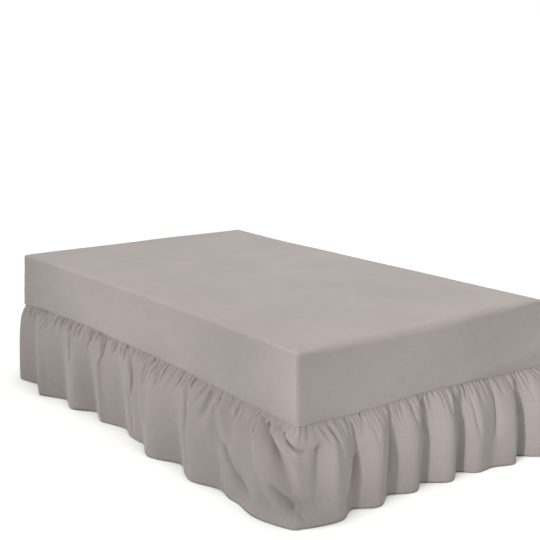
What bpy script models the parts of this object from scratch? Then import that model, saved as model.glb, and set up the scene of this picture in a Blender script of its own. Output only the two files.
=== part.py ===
"""Bed skirt: a fitted cover with a gathered frill on three sides, on its plain mattress and bed base.

Metres, +Z up, floor at z = 0. The head of the bed is at +Y and the foot at -Y. Places around the bed
are given as the distance along the cover's lower edge: it starts at the head's left corner, runs down
the left side (-X), across the foot and up the right side (+X), and closes across the head.
"""

import math

import bmesh
import bpy

# Driving dimensions
WIDTH = 1.230  # over the cloth, left to right
LENGTH = 2.000  # over the cloth, head to foot
HEIGHT = 0.580  # floor to the cloth on top, at the foot's corners
BED_Y = 0.066  # the bed's centre: the frill stands out at the foot only, so the bed sits back
GAP = 0.0003  # between pieces that touch

# Cloth
COVER_THICK = 0.0020
FRILL_THICK = 0.0015
CORNER_RADIUS = 0.018  # of the cover's upright corners
CROWN = 0.006  # rise of the top's middle over the foot's corners
SEAM_GAP = 0.0004  # between the cover's lower edge and the frill's top edge
HEM_HEIGHT = 0.004  # of the frill's hem over the floor

# Mattress, base and feet
COVER_CLEAR = 0.0008  # between the cover's inner face and the mattress
EDGE_CLEAR = 0.006  # how much rounder the mattress's top edge is than the cover's
MATTRESS_BOTTOM = 0.330
MATTRESS_EDGE = 0.020  # rounding of the mattress's lower edge
BASE_INSET = 0.024  # base's sides behind the cover's outer face
BASE_BOTTOM = 0.040
BASE_BEVEL = 0.006
BASE_BEVEL_STEPS = 2
FOOT_RADIUS = 0.030
FOOT_INSET = 0.120  # feet's axes behind the base's sides
FOOT_SIDES = 24
BASE_SIZE = (
    WIDTH - 2.0 * BASE_INSET,
    LENGTH - 2.0 * BASE_INSET,
    MATTRESS_BOTTOM - GAP - BASE_BOTTOM,
)

# Steps of the meshes
STATIONS_LONG = 20  # along a side
STATIONS_SHORT = 12  # along the foot or the head
STATIONS_CORNER = 3  # around a corner
FRILL_STEPS = 4  # frill columns between two stations of a straight run
SHOULDER_TURNS = (0, 30, 60, 90)  # degrees around the edge between a drop and the top
TOP_INSETS = (0.12, 0.30, WIDTH / 2.0)  # rings of the top, the last one on the middle line
DROP_LEVELS = (1.0, 0.65, 0.3)  # rings of a drop, 1 at the seam
FRILL_LEVELS = (0.0, 0.015, 0.06, 0.13, 0.24, 0.40, 0.60, 0.80, 1.0)  # rows of the frill, 1 at the hem

# The edge between the top and the drops: its height over HEIGHT and its rounding
EDGE = (  # along, rise, radius
    (0.00, 0.000, 0.012),
    (0.30, 0.005, 0.016),
    (0.80, 0.010, 0.018),
    (1.30, 0.011, 0.018),
    (1.70, 0.007, 0.016),
    (2.00, 0.000, 0.010),
    (2.20, 0.000, 0.026),
    (2.60, -0.001, 0.036),
    (3.00, -0.002, 0.026),
    (3.23, -0.008, 0.010),
    (3.70, -0.010, 0.016),
    (4.40, -0.015, 0.018),
    (4.90, -0.020, 0.016),
    (5.23, -0.018, 0.012),
    (5.80, -0.006, 0.022),
    (6.46, 0.000, 0.012),
)

# The cover's lower edge: its height over the floor, and how far it stands out past the top edge
LOWER_EDGE = (  # along, height, flare
    (0.00, 0.349, 0.011),
    (0.17, 0.362, 0.009),
    (0.40, 0.368, 0.007),
    (0.62, 0.371, 0.006),
    (0.90, 0.366, 0.004),
    (1.30, 0.361, 0.003),
    (1.50, 0.351, 0.003),
    (1.75, 0.339, 0.002),
    (2.00, 0.330, 0.001),
    (2.28, 0.323, 0.002),
    (2.57, 0.329, 0.003),
    (2.80, 0.322, 0.004),
    (3.00, 0.314, 0.008),
    (3.23, 0.310, 0.014),
    (3.50, 0.320, 0.006),
    (3.95, 0.336, 0.004),
    (4.45, 0.345, 0.005),
    (4.90, 0.340, 0.006),
    (5.23, 0.333, 0.008),
    (5.80, 0.341, 0.003),
    (6.46, 0.349, 0.011),
)

# The frill's main folds, as its hem passes them: crests stand out, valleys fall back to the bed
FOLDS = (  # along, reach
    (0.000, 0.052),
    (0.035, 0.064),
    (0.165, 0.024),
    (0.300, 0.082),
    (0.435, 0.024),
    (0.550, 0.066),
    (0.655, 0.001),
    (0.765, 0.038),
    (0.905, 0.006),
    (1.000, 0.041),
    (1.080, 0.042),
    (1.140, 0.074),
    (1.215, 0.093),
    (1.360, 0.036),
    (1.500, 0.096),
    (1.640, 0.055),
    (1.740, 0.076),
    (1.810, 0.097),
    (1.910, 0.096),
    (2.000, 0.076),
    (2.050, 0.080),
    (2.110, 0.090),
    (2.150, 0.083),
    (2.205, 0.048),
    (2.270, 0.084),
    (2.310, 0.085),
    (2.385, 0.038),
    (2.450, 0.072),
    (2.500, 0.070),
    (2.560, 0.033),
    (2.620, 0.084),
    (2.665, 0.087),
    (2.735, 0.041),
    (2.800, 0.095),
    (2.880, 0.102),
    (2.945, 0.119),
    (3.030, 0.072),
    (3.110, 0.133),
    (3.230, 0.088),
    (3.330, 0.092),
    (3.450, 0.046),
    (3.590, 0.090),
    (3.730, 0.030),
    (3.860, 0.078),
    (3.980, 0.016),
    (4.110, 0.070),
    (4.220, 0.024),
    (4.360, 0.088),
    (4.500, 0.020),
    (4.620, 0.064),
    (4.740, 0.010),
    (4.860, 0.078),
    (4.990, 0.026),
    (5.110, 0.072),
    (5.230, 0.044),
)

# Slanting folds that cross the frill from near its seam towards the hem: ridges stand out, troughs
# sink in. Depths are shares of the drop.
SLANTS = (  # from_along, to_along, from_depth, to_depth, from_width, to_width, height
    (1.640, 1.735, 0.03, 0.85, 0.030, 0.030, -0.008),
    (1.715, 1.980, 0.04, 0.90, 0.032, 0.032, 0.013),
    (1.835, 2.000, 0.04, 0.90, 0.030, 0.028, -0.014),
    (1.890, 2.000, 0.02, 0.32, 0.022, 0.022, 0.010),
    (2.076, 2.057, 0.02, 0.78, 0.022, 0.024, -0.012),
    (2.108, 2.084, 0.03, 0.82, 0.024, 0.026, 0.008),
    (2.226, 2.155, 0.03, 0.92, 0.022, 0.026, -0.012),
    (2.376, 2.330, 0.02, 0.92, 0.022, 0.026, -0.012),
    (2.925, 2.830, 0.04, 0.88, 0.060, 0.016, -0.024),
    (3.035, 2.885, 0.03, 0.95, 0.024, 0.030, 0.009),
    (0.430, 0.480, 0.02, 0.60, 0.030, 0.028, -0.010),
    (0.690, 0.640, 0.02, 0.60, 0.030, 0.028, -0.009),
    (1.100, 1.165, 0.02, 0.60, 0.028, 0.028, 0.010),
    (1.435, 1.460, 0.02, 0.80, 0.026, 0.028, -0.010),
    (3.330, 3.260, 0.03, 0.85, 0.030, 0.030, -0.012),
    (3.560, 3.460, 0.03, 0.70, 0.030, 0.026, 0.010),
    (4.020, 3.960, 0.02, 0.60, 0.030, 0.028, -0.010),
    (4.470, 4.520, 0.02, 0.65, 0.030, 0.028, -0.010),
    (4.900, 4.860, 0.02, 0.60, 0.028, 0.028, 0.009),
)
SLANT_FADE = 0.12  # share of the drop over which a slanting fold comes up and dies out
PUFF = 0.018  # how far the gathers stand out just under the seam
PUFF_START = 0.015  # share of the drop over which the frill hangs straight from its seam
PUFF_END = 0.11
FOLD_GROWTH = 0.75  # how the folds open down the drop: 1 is evenly, less is sooner
TURN = 0.130  # the frill starts to turn this far before a corner of the foot

LEFT_END = LENGTH
FOOT_END = LENGTH + WIDTH
RIGHT_END = FOOT_END + LENGTH
ROUND = RIGHT_END + WIDTH
MERGE = 1e-5  # points nearer than this are one
SHARP_DEGREES = 40  # edges that turn more than this stay sharp


def ease(share):
    """Smooth step from 0 to 1."""
    share = min(max(share, 0.0), 1.0)
    return share * share * (3.0 - 2.0 * share)


def from_table(table, along, column):
    """Value of a column at a place along the edge, eased between two rows."""
    for low, high in zip(table, table[1:]):
        if along <= high[0]:
            share = (along - low[0]) / (high[0] - low[0])
            return low[column] + (high[column] - low[column]) * ease(share)
    return table[-1][column]


def stations():
    """Places around the closed edge: even on the straight runs, a few around each corner."""
    places = []
    start = 0.0
    runs = ((LENGTH, STATIONS_LONG), (WIDTH, STATIONS_SHORT)) * 2
    for run, count in runs:
        straight = run - 2.0 * CORNER_RADIUS
        places += [start + CORNER_RADIUS + straight * i / count for i in range(count + 1)]
        corner_start = start + run - CORNER_RADIUS
        places += [
            corner_start + 2.0 * CORNER_RADIUS * i / STATIONS_CORNER for i in range(1, STATIONS_CORNER)
        ]
        start += run
    return places


def ring_point(along, inset):
    """Point of the bed's rounded outline, moved inwards by inset, for a place along the edge."""
    along %= ROUND
    corners = ((-1, -1, LEFT_END), (1, -1, FOOT_END), (1, 1, RIGHT_END), (-1, 1, ROUND))
    half_x = WIDTH / 2.0 - inset
    half_y = LENGTH / 2.0 - inset
    radius = max(CORNER_RADIUS - inset, 0.0)
    radius = min(radius, half_x, half_y)
    for index, (side_x, side_y, corner) in enumerate(corners):
        past = (along - corner + ROUND / 2.0) % ROUND - ROUND / 2.0
        if abs(past) <= CORNER_RADIUS + MERGE:
            turn = (past / CORNER_RADIUS + 1.0) * math.pi / 4.0
            start = math.pi * (1.0 + index / 2.0)
            x = side_x * (half_x - radius) + radius * math.cos(start + turn)
            y = side_y * (half_y - radius) + radius * math.sin(start + turn)
            return x, y
    ends = ((0.0, LEFT_END), (LEFT_END, FOOT_END), (FOOT_END, RIGHT_END), (RIGHT_END, ROUND))
    for side, (start, end) in enumerate(ends):
        if start <= along <= end:
            share = (along - start - CORNER_RADIUS) / (end - start - 2.0 * CORNER_RADIUS)
            across = 1.0 - 2.0 * share
            if side == 0:
                return -half_x, across * (half_y - radius)
            if side == 1:
                return -across * (half_x - radius), -half_y
            if side == 2:
                return half_x, -across * (half_y - radius)
            return across * (half_x - radius), half_y
    raise ValueError(along)


def drop_point(along, level, behind=0.0):
    """Point on a drop of the cover, from its top edge at level 0 to the seam at level 1."""
    high = HEIGHT + from_table(EDGE, along, 1) - from_table(EDGE, along, 2)
    low = from_table(LOWER_EDGE, along, 1)
    x, y = ring_point(along, behind - level * from_table(LOWER_EDGE, along, 2))
    return x, y + BED_Y, high + (low - high) * level


def shoulder_point(along, degrees, behind=0.0, softer=0.0):
    """Point on the rounded edge between a drop (0 degrees) and the top (90 degrees)."""
    radius = from_table(EDGE, along, 2) + softer
    turn = math.radians(degrees)
    x, y = ring_point(along, behind + radius * (1.0 - math.cos(turn)))
    top = HEIGHT + from_table(EDGE, along, 1) - behind
    return x, y + BED_Y, top - radius * (1.0 - math.sin(turn))


def top_point(along, inset, behind=0.0):
    """Point on the top, inset from the edge: the edge's height eased to the crown."""
    edge = HEIGHT + from_table(EDGE, along, 1)
    x, y = ring_point(along, inset)
    inwards = ease(inset / (WIDTH / 2.0))
    return x, y + BED_Y, edge + (HEIGHT + CROWN - edge) * inwards - behind


def turn_at(along):
    """Direction in which the frill stands out, eased around the foot's two corners."""
    angle = math.pi
    for corner in (LEFT_END, FOOT_END):
        angle += math.pi / 2.0 * ease((along - corner + TURN) / (2.0 * TURN))
    return math.cos(angle), math.sin(angle)


def slant_height(along, depth):
    """Height that the slanting folds add at a place on the frill."""
    height = 0.0
    for from_along, to_along, from_depth, to_depth, from_width, to_width, rise in SLANTS:
        share = min(max((depth - from_depth) / (to_depth - from_depth), 0.0), 1.0)
        middle = from_along + (to_along - from_along) * share
        width = from_width + (to_width - from_width) * share
        shown = ease((depth - PUFF_START) / SLANT_FADE) * ease((to_depth + SLANT_FADE - depth) / SLANT_FADE)
        height += rise * shown * math.exp(-(((along - middle) / width) ** 2))
    return height


def frill_reach(along, depth):
    """How far the frill stands out from its seam, at a share of the drop."""
    puff = PUFF * ease((depth - PUFF_START) / (PUFF_END - PUFF_START))
    hanging = max(depth - PUFF_START, 0.0) / (1.0 - PUFF_START)
    folds = (from_table(FOLDS, along, 1) - PUFF) * hanging**FOLD_GROWTH
    return puff + folds + slant_height(along, depth)


def frill_point(along, seam, depth):
    """Point on the frill's outer face, below a point of the seam."""
    out_x, out_y = turn_at(along)
    reach = frill_reach(along, depth)
    start = seam[2] - SEAM_GAP
    return (
        seam[0] + out_x * reach,
        seam[1] + out_y * reach,
        start + (HEM_HEIGHT - start) * depth,
    )


def between(first, second, share):
    """Point on the straight line between two points."""
    return tuple(a + (b - a) * share for a, b in zip(first, second))


def make_material(name, colour, roughness):
    """Plain material of one colour."""
    material = bpy.data.materials.new(name)
    material.use_nodes = True
    shader = material.node_tree.nodes["Principled BSDF"]
    shader.inputs["Base Color"].default_value = (*colour, 1.0)
    shader.inputs["Roughness"].default_value = roughness
    shader.inputs["Metallic"].default_value = 0.0
    material.diffuse_color = (*colour, 1.0)
    return material


def add_object(name, mesh, material, location=(0.0, 0.0, 0.0)):
    """Object for a mesh, in the part's collection."""
    made = bpy.data.objects.new(name, mesh)
    made.location = location
    made.data.materials.append(material)
    parts.objects.link(made)
    return made


def loft(name, rings, closed, caps=()):
    """Smooth mesh through rings of points that run to the left, each ring above the one before."""
    shape = bmesh.new()
    rows = [[shape.verts.new(point) for point in ring] for ring in rings]
    count = len(rows[0])
    for below, above in zip(rows, rows[1:]):
        for i in range(count if closed else count - 1):
            j = (i + 1) % count
            shape.faces.new((below[i], below[j], above[j], above[i]))
    for row in caps:
        shape.faces.new(reversed(rows[row]))
    bmesh.ops.remove_doubles(shape, verts=shape.verts, dist=MERGE)
    bmesh.ops.dissolve_degenerate(shape, edges=shape.edges, dist=MERGE)
    mesh = bpy.data.meshes.new(name)
    shape.to_mesh(mesh)
    shape.free()
    mesh.shade_smooth()
    return mesh


def add_thickness(made, thickness):
    """Gives an open sheet its thickness, inwards from its outer face."""
    solid = made.modifiers.new("Thickness", "SOLIDIFY")
    solid.thickness = thickness
    solid.offset = -1.0
    solid.use_even_offset = True
    solid.use_quality_normals = True


def make_cover(cloth):
    """Fitted cover: lower edge, drops, rounded edges and top in one sheet."""
    places = stations()
    rings = [[drop_point(along, level) for along in places] for level in DROP_LEVELS]
    rings += [[shoulder_point(along, turn) for along in places] for turn in SHOULDER_TURNS]
    rings += [[top_point(along, inset) for along in places] for inset in TOP_INSETS]
    cover = add_object("fitted_cover", loft("fitted_cover", rings, closed=True), cloth)
    add_thickness(cover, COVER_THICK)


def make_frill(cloth):
    """Frill: rows of points from the hem up to the seam, along three sides."""
    places = [along for along in stations() if along <= RIGHT_END - CORNER_RADIUS + MERGE]
    columns = []
    for first, second in zip(places, places[1:]):
        steps = 1 if second - first < CORNER_RADIUS else FRILL_STEPS
        for i in range(steps):
            share = i / steps
            seam = between(drop_point(first, 1.0), drop_point(second, 1.0), share)
            columns.append((first + (second - first) * share, seam))
    columns.append((places[-1], drop_point(places[-1], 1.0)))
    rows = [
        [frill_point(along, seam, depth) for along, seam in columns]
        for depth in reversed(FRILL_LEVELS)
    ]
    frill = add_object("frill", loft("frill", rows, closed=False), cloth)
    add_thickness(frill, FRILL_THICK)


def make_mattress(ticking):
    """Mattress: a soft-edged block just inside the cover."""
    places = stations()
    behind = COVER_THICK + COVER_CLEAR
    low_edge = ((behind + MATTRESS_EDGE, MATTRESS_BOTTOM), (behind, MATTRESS_BOTTOM + MATTRESS_EDGE))
    rings = []
    for inset, height in low_edge:
        outline = [ring_point(along, inset) for along in places]
        rings.append([(x, y + BED_Y, height) for x, y in outline])
    for turn in SHOULDER_TURNS:
        rings.append([shoulder_point(along, turn, behind, EDGE_CLEAR) for along in places])
    for inset in TOP_INSETS:
        rings.append([top_point(along, inset, behind) for along in places])
    add_object("mattress", loft("mattress", rings, closed=True, caps=(0,)), ticking)


def make_base(cloth):
    """Bed base: a plain block under the mattress, with eased edges."""
    shape = bmesh.new()
    bmesh.ops.create_cube(shape, size=1.0)
    bmesh.ops.scale(shape, vec=BASE_SIZE, verts=shape.verts)
    mesh = bpy.data.meshes.new("bed_base")
    shape.to_mesh(mesh)
    shape.free()
    base = add_object("bed_base", mesh, cloth, (0.0, BED_Y, BASE_BOTTOM + BASE_SIZE[2] / 2.0))
    bevel = base.modifiers.new("Edges", "BEVEL")
    bevel.width = BASE_BEVEL
    bevel.segments = BASE_BEVEL_STEPS


def make_foot(name, x, y, plastic):
    """Round foot between the floor and the base."""
    height = BASE_BOTTOM - GAP
    shape = bmesh.new()
    bmesh.ops.create_cone(
        shape,
        cap_ends=True,
        segments=FOOT_SIDES,
        radius1=FOOT_RADIUS,
        radius2=FOOT_RADIUS,
        depth=height,
    )
    mesh = bpy.data.meshes.new(name)
    shape.to_mesh(mesh)
    shape.free()
    mesh.shade_smooth()
    mesh.set_sharp_from_angle(angle=math.radians(SHARP_DEGREES))
    add_object(name, mesh, plastic, (x, y, height / 2.0))


for old in list(bpy.data.objects):
    bpy.data.objects.remove(old)

parts = bpy.data.collections.new("bed_skirt_on_bed")
bpy.context.scene.collection.children.link(parts)

percale = make_material("taupe_percale", (0.40, 0.35, 0.32), 0.85)
white_ticking = make_material("white_ticking", (0.75, 0.74, 0.71), 0.85)
base_cloth = make_material("grey_base_cloth", (0.22, 0.21, 0.20), 0.90)
black_plastic = make_material("black_plastic", (0.03, 0.03, 0.03), 0.45)

make_cover(percale)
make_frill(percale)
make_mattress(white_ticking)
make_base(base_cloth)

foot_x = BASE_SIZE[0] / 2.0 - FOOT_INSET
foot_y = BASE_SIZE[1] / 2.0 - FOOT_INSET
make_foot("foot_head_left", -foot_x, BED_Y + foot_y, black_plastic)
make_foot("foot_head_right", foot_x, BED_Y + foot_y, black_plastic)
make_foot("foot_foot_left", -foot_x, BED_Y - foot_y, black_plastic)
make_foot("foot_foot_right", foot_x, BED_Y - foot_y, black_plastic)
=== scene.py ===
import math
import random

import bmesh
import bpy
import numpy as np
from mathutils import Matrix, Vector


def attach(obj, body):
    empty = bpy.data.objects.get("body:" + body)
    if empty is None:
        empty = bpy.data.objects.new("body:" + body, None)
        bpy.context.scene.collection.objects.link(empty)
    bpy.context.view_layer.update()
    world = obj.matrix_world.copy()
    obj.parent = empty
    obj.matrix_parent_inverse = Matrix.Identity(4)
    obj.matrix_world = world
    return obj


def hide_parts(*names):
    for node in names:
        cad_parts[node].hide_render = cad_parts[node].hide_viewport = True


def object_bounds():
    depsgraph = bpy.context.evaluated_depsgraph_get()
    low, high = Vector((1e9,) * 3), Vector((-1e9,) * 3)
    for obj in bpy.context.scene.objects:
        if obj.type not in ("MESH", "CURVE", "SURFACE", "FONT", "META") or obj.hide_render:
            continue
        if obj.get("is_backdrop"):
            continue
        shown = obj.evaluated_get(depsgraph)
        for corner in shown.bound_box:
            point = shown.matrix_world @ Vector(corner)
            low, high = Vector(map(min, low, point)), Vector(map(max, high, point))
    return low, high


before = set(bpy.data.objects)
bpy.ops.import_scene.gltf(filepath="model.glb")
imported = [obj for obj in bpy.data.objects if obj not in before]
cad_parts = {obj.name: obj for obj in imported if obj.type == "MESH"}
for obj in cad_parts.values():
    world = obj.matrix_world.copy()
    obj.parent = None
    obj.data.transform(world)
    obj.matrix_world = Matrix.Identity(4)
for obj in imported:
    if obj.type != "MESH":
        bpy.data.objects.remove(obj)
cad_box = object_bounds()

# ---------------------------------------------------------------------------------------------------
# Camera, studio light and floor. The camera stands off the bed's near left corner, a little above it.
# The room is a white cove lit from its ceiling. Three lamps with snoots stand low around the bed: one
# towards its head lights the left side, one rakes the foot from the left, a weak one fills its corner.
BED_Y = 0.066  # the bed's centre behind the model's
CAMERA_PLACE = (-2.783, -3.637, 1.613)  # from the bed's centre on the floor
CAMERA_TILT = 12.49  # degrees below level
CAMERA_TURN = -37.9  # degrees from straight along the bed, towards its right side


def add_object(name, data):
    """Object in the scene for a mesh, a lamp or a camera."""
    made = bpy.data.objects.new(name, data)
    bpy.context.scene.collection.objects.link(made)
    return made


camera_data = bpy.data.cameras.new("camera")
camera_data.lens = 73.53
camera_data.sensor_width = 36.0
camera = add_object("camera", camera_data)
camera.location = (CAMERA_PLACE[0], CAMERA_PLACE[1] + BED_Y, CAMERA_PLACE[2])
camera.rotation_euler = (math.radians(90.0 - CAMERA_TILT), 0.0, math.radians(CAMERA_TURN))
bpy.context.scene.camera = camera
bpy.context.scene.view_settings.view_transform = "Standard"

ROOM_COLOUR = (0.74, 1.0, 0.80)
ROOM_LIGHT = 0.12


def add_node(tree, kind, settings=None, **given):
    """Node with its settings. Each input takes a value or is linked to another node's output."""
    made = tree.nodes.new(kind)
    for setting, value in (settings or {}).items():
        setattr(made, setting, value)
    for name, source in given.items():
        socket = made.inputs[name.replace("_", " ")]
        if isinstance(source, bpy.types.NodeSocket):
            tree.links.new(source, socket)
        else:
            socket.default_value = source
    return made


world = bpy.data.worlds.new("white_room")
world.use_nodes = True
room = world.node_tree
back = room.nodes["Background"]
back.inputs["Color"].default_value = (*ROOM_COLOUR, 1.0)
back.inputs["Strength"].default_value = ROOM_LIGHT
seen = add_node(room, "ShaderNodeBackground", Color=(1.0, 1.0, 1.0, 1.0))
rays = add_node(room, "ShaderNodeLightPath")
either = add_node(room, "ShaderNodeMixShader", Fac=rays.outputs["Is Camera Ray"])
room.links.new(back.outputs["Background"], either.inputs[1])
room.links.new(seen.outputs["Background"], either.inputs[2])
room.links.new(either.outputs["Shader"], room.nodes["World Output"].inputs["Surface"])
bpy.context.scene.world = world


def soft_light(name, kind, place, aim, energy, colour):
    """Lamp of one kind at a place, turned to what it lights."""
    lamp = bpy.data.lights.new(name, kind)
    lamp.energy = energy
    lamp.color = colour
    made = add_object(name, lamp)
    made.location = place
    made.rotation_euler = (Vector(aim) - Vector(place)).to_track_quat("-Z", "Y").to_euler()
    return lamp


CEILING_WHITE = (1.0, 0.974, 0.966)
WARM_WHITE = (1.0, 0.955, 0.945)
CEILING_PLACE = (0.1, -0.2, 6.0)
CEILING_POWER = 1.078 * math.pi
ceiling = soft_light("ceiling_light", "SUN", CEILING_PLACE, (0.0, 0.0, 0.0), CEILING_POWER, CEILING_WHITE)
ceiling.angle = math.radians(60.0)
for name, place, aim, watts, colour, cone, size in (
    ("side_light", (-5.5, 2.6, 1.7), (-0.6, -0.15, 0.35), 730.0, WARM_WHITE, 31.5, 0.6),
    ("foot_light", (-5.9, -3.05, 1.5), (0.88, -1.0, 0.2), 1680.0, WARM_WHITE, 12.6, 0.30),
    ("front_light", (-2.2, -5.9, 1.4), (-0.45, -1.0, 0.2), 235.0, WARM_WHITE, 12.0, 0.35),
):
    snoot = soft_light(name, "SPOT", place, aim, watts, colour)
    snoot.spot_size = math.radians(cone)
    snoot.spot_blend = 1.0
    snoot.shadow_soft_size = size
# A soft panel over the right side lifts the far half of the top.
back_light = soft_light("back_light", "AREA", (1.5, 0.9, 1.9), (0.35, 0.1, 0.58), 8.6, CEILING_WHITE)
back_light.shape = "RECTANGLE"
back_light.size, back_light.size_y = 1.6, 0.9

FLOOR_HALF = 30.0
FLOOR_PAINT = (0.90, 0.915, 0.908)


def new_material(name, **looks):
    """Material with its node tree and its shader, which takes the looks that are given."""
    material = bpy.data.materials.new(name)
    material.use_nodes = True
    shader = material.node_tree.nodes["Principled BSDF"]
    for look, value in looks.items():
        shader.inputs[look.replace("_", " ")].default_value = value
    return material, material.node_tree, shader


floor_mesh = bpy.data.meshes.new("floor")
floor_corners = [(x * FLOOR_HALF, y * FLOOR_HALF, 0.0) for x, y in ((-1, -1), (1, -1), (1, 1), (-1, 1))]
floor_mesh.from_pydata(floor_corners, [], [(0, 1, 2, 3)])
floor = add_object("floor", floor_mesh)
floor_paint, _, _ = new_material(
    "white_floor",
    Base_Color=(*FLOOR_PAINT, 1.0),
    Roughness=0.9,
    Specular_IOR_Level=0.1,
)
floor_mesh.materials.append(floor_paint)
floor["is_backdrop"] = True

# ---------------------------------------------------------------------------------------------------
# Fitted cover: plain percale, a top and four drops cut in one with sewn upright corners. It is pulled
# over the mattress and lies tight on it, so its drops show only faint pulls and the drag of the frill.
WIDTH = 1.230  # over the cloth, left to right
LENGTH = 2.000  # over the cloth, head to foot
HEIGHT = 0.580  # floor to the cloth on top, at the foot's corners
CORNER_RADIUS = 0.009
CROWN = 0.006
COVER_THICK = 0.0010
LEFT_END = LENGTH
FOOT_END = LENGTH + WIDTH
RIGHT_END = FOOT_END + LENGTH
ROUND = RIGHT_END + WIDTH
CORNERS = ((-1, -1, LEFT_END), (1, -1, FOOT_END), (1, 1, RIGHT_END), (-1, 1, ROUND))  # across, up, along

# Places are given by the distance along the cover's lower edge, from the head's left corner down the
# left side, across the foot, up the right side and across the head.
EDGE = (  # along, rise over HEIGHT, radius
    (0.00, 0.000, 0.012),
    (0.30, 0.005, 0.016),
    (0.80, 0.010, 0.018),
    (1.30, 0.011, 0.018),
    (1.70, 0.007, 0.016),
    (2.00, 0.000, 0.010),
    (2.20, 0.000, 0.026),
    (2.60, -0.001, 0.036),
    (3.00, -0.002, 0.026),
    (3.23, -0.008, 0.010),
    (3.70, -0.010, 0.016),
    (4.40, -0.015, 0.018),
    (4.90, -0.020, 0.016),
    (5.23, -0.018, 0.012),
    (5.80, -0.006, 0.022),
    (6.46, 0.000, 0.012),
)
LOWER_EDGE = (  # along, height over the floor, how far it stands out past the top edge
    (0.00, 0.349, 0.011),
    (0.17, 0.362, 0.009),
    (0.40, 0.368, 0.007),
    (0.62, 0.371, 0.006),
    (0.90, 0.366, 0.004),
    (1.30, 0.361, 0.003),
    (1.50, 0.351, 0.003),
    (1.75, 0.339, 0.002),
    (2.00, 0.330, 0.001),
    (2.28, 0.323, 0.002),
    (2.57, 0.329, 0.003),
    (2.80, 0.322, 0.004),
    (3.00, 0.314, 0.008),
    (3.23, 0.310, 0.014),
    (3.50, 0.320, 0.006),
    (3.95, 0.336, 0.004),
    (4.45, 0.345, 0.005),
    (4.90, 0.340, 0.006),
    (5.23, 0.333, 0.008),
    (5.80, 0.341, 0.003),
    (6.46, 0.349, 0.011),
)


def ease(share):
    """Smooth step from 0 to 1."""
    share = np.clip(share, 0.0, 1.0)
    return share * share * (3.0 - 2.0 * share)


def between_rows(table, along, column):
    """A column's values before and after places along the edge, and the share of the way between."""
    rows = np.array(table, dtype=float)
    low = np.clip(np.searchsorted(rows[:, 0], along, side="right") - 1, 0, len(rows) - 2)
    share = (along - rows[low, 0]) / (rows[low + 1, 0] - rows[low, 0])
    return rows[low, column], rows[low + 1, column], share


def from_table(table, along, column):
    """Values of a column at places along the edge, eased between two rows."""
    first, second, share = between_rows(table, along, column)
    return first + (second - first) * ease(share)


def past_corner(along, corner):
    """How far places are past a corner, going round the closed edge. Below 0 is before it."""
    return np.mod(along - corner + ROUND / 2.0, ROUND) - ROUND / 2.0


def ring_points(along, inset):
    """Points of the bed's rounded outline, moved inwards by inset, with the way out at each."""
    along = np.mod(np.asarray(along, dtype=float), ROUND)
    inset = np.broadcast_to(np.asarray(inset, dtype=float), along.shape)
    half_x = WIDTH / 2.0 - inset
    half_y = LENGTH / 2.0 - inset
    radius = np.maximum(CORNER_RADIUS - inset, 0.0)
    points = np.zeros(along.shape + (2,))
    out = np.zeros(along.shape + (2,))
    sides = (
        (0.0, LEFT_END, (-1.0, 0.0), (0.0, -1.0)),
        (LEFT_END, FOOT_END, (0.0, -1.0), (1.0, 0.0)),
        (FOOT_END, RIGHT_END, (1.0, 0.0), (0.0, 1.0)),
        (RIGHT_END, ROUND, (0.0, 1.0), (-1.0, 0.0)),
    )
    for start, end, way_out, way_on in sides:
        here = (along >= start) & (along <= end)
        share = (along - start - CORNER_RADIUS) / (end - start - 2.0 * CORNER_RADIUS)
        reach = 2.0 * share - 1.0
        for axis, half in ((0, half_x), (1, half_y)):
            value = way_out[axis] * half + way_on[axis] * reach * (half - radius)
            points[..., axis] = np.where(here, value, points[..., axis])
            out[..., axis] = np.where(here, way_out[axis], out[..., axis])
    for index, (side_x, side_y, corner) in enumerate(CORNERS):
        past = past_corner(along, corner)
        here = np.abs(past) <= CORNER_RADIUS + 1e-9
        angle = math.pi * (1.0 + index / 2.0) + (past / CORNER_RADIUS + 1.0) * math.pi / 4.0
        turned = ((0, side_x, half_x, np.cos(angle)), (1, side_y, half_y, np.sin(angle)))
        for axis, side, half, turn in turned:
            points[..., axis] = np.where(here, side * (half - radius) + radius * turn, points[..., axis])
            out[..., axis] = np.where(here, turn, out[..., axis])
    return points, out


def wander(values, seed, pitch, count=5):
    """Slow uneven wave with about the given pitch, from -1 to 1, that looks random but never changes."""
    chance = random.Random(seed)
    total = np.zeros_like(np.asarray(values, dtype=float))
    for _ in range(count):
        wave = pitch * chance.uniform(0.7, 1.6)
        total += np.sin(values * 2.0 * math.pi / wave + chance.uniform(0.0, 2.0 * math.pi))
    return total / count


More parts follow.
